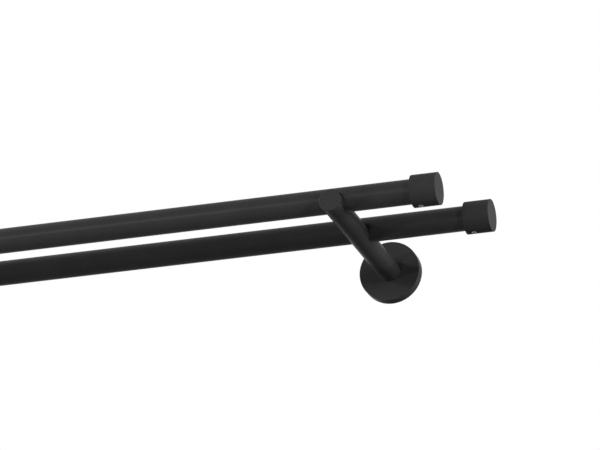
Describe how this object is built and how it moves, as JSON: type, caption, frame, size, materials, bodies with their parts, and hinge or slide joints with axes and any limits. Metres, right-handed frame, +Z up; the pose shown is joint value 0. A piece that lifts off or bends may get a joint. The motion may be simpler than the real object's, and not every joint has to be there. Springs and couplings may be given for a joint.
{
  "type": "double curtain pole",
  "caption": "Double curtain pole: a front and a back round tube with plain end caps, resting in the seats of round arms that stand off the wall on disc roses.",
  "frame": {"origin": "on the wall plane, at the middle of the four wall screw holes, midway between the two arms", "axes": "+X along the poles, +Y into the wall, +Z up"},
  "size_m": [1.256, 0.168, 0.05],
  "materials": {
    "pole_coat": "satin black powder coat",
    "cap_coat": "satin black powder coat",
    "arm_coat": "satin black powder coat",
    "rose_coat": "satin black powder coat",
    "screw_zinc": "bright zinc plate",
    "plate_zinc": "zinc plate"
  },
  "bodies": {
    "root": {"front_pole": "pole_coat", "back_pole": "pole_coat", "front_cap_left": "cap_coat", "front_cap_right": "cap_coat", "back_cap_left": "cap_coat", "back_cap_right": "cap_coat", "front_cap_screw_left": "screw_zinc", "front_cap_screw_right": "screw_zinc", "back_cap_screw_left": "screw_zinc", "back_cap_screw_right": "screw_zinc", "arm_left": "arm_coat", "arm_right": "arm_coat", "arm_screw_left": "screw_zinc", "arm_screw_right": "screw_zinc", "rose_left": "rose_coat", "rose_right": "rose_coat", "rose_screw_left": "screw_zinc", "rose_screw_right": "screw_zinc", "wall_plate_left": "plate_zinc", "wall_plate_right": "plate_zinc"}
  },
  "joints": []
}
